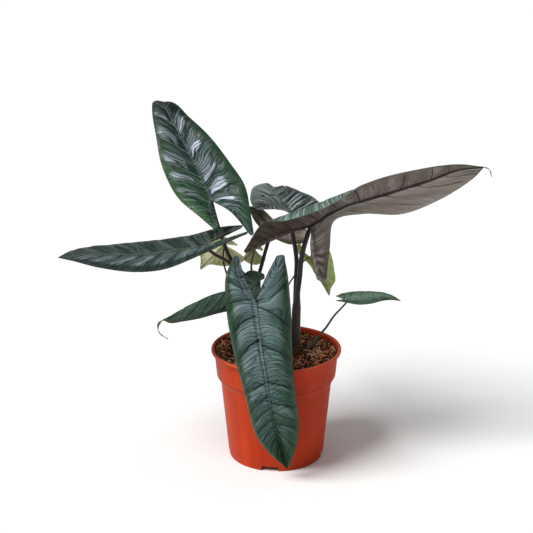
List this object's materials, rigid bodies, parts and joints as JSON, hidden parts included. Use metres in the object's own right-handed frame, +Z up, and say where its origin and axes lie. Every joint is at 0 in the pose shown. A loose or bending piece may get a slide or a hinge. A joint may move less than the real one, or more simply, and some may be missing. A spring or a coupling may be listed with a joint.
{
  "type": "potted alocasia scalprum",
  "caption": "Young aroid plant with long arrow-shaped leathery leaves on dark upright petioles, growing from bark and coir mix in a round tapered plastic nursery pot.",
  "frame": {"origin": "middle of the pot's underside, on the face that the pot stands on", "axes": "+Z up along the pot's axis, -Y towards the side where one leaf hangs down over the pot, +X to the right as seen from there"},
  "size_m": [0.3809, 0.2265, 0.3224],
  "materials": {
    "pot": "satin terracotta-coloured polypropylene",
    "soil": "rough bark and coir mix",
    "crown": "rough brown rootstock",
    "petiole_dark": "satin purple-black leaf stalk",
    "petiole_olive": "satin olive leaf stalk",
    "blade_dark": "satin blue-green above, purple-brown below",
    "blade_pale": "satin pale green young leaf"
  },
  "bodies": {
    "root": {"pot": "pot", "soil": "soil", "crown": "crown", "petiole_upright": "petiole_dark", "blade_upright": "blade_dark", "petiole_left": "petiole_dark", "blade_left": "blade_dark", "petiole_front": "petiole_dark", "blade_front": "blade_dark", "petiole_low": "petiole_dark", "blade_low": "blade_dark", "petiole_back": "petiole_dark", "blade_back": "blade_dark", "petiole_right": "petiole_dark", "blade_right": "blade_dark", "petiole_small": "petiole_dark", "blade_small": "blade_dark", "petiole_pale_right": "petiole_olive", "blade_pale_right": "blade_pale", "petiole_pale_left": "petiole_dark", "blade_pale_left": "blade_pale", "petiole_new": "petiole_olive", "blade_new": "blade_pale", "petiole_inner": "petiole_dark", "blade_inner": "blade_dark"}
  },
  "joints": []
}
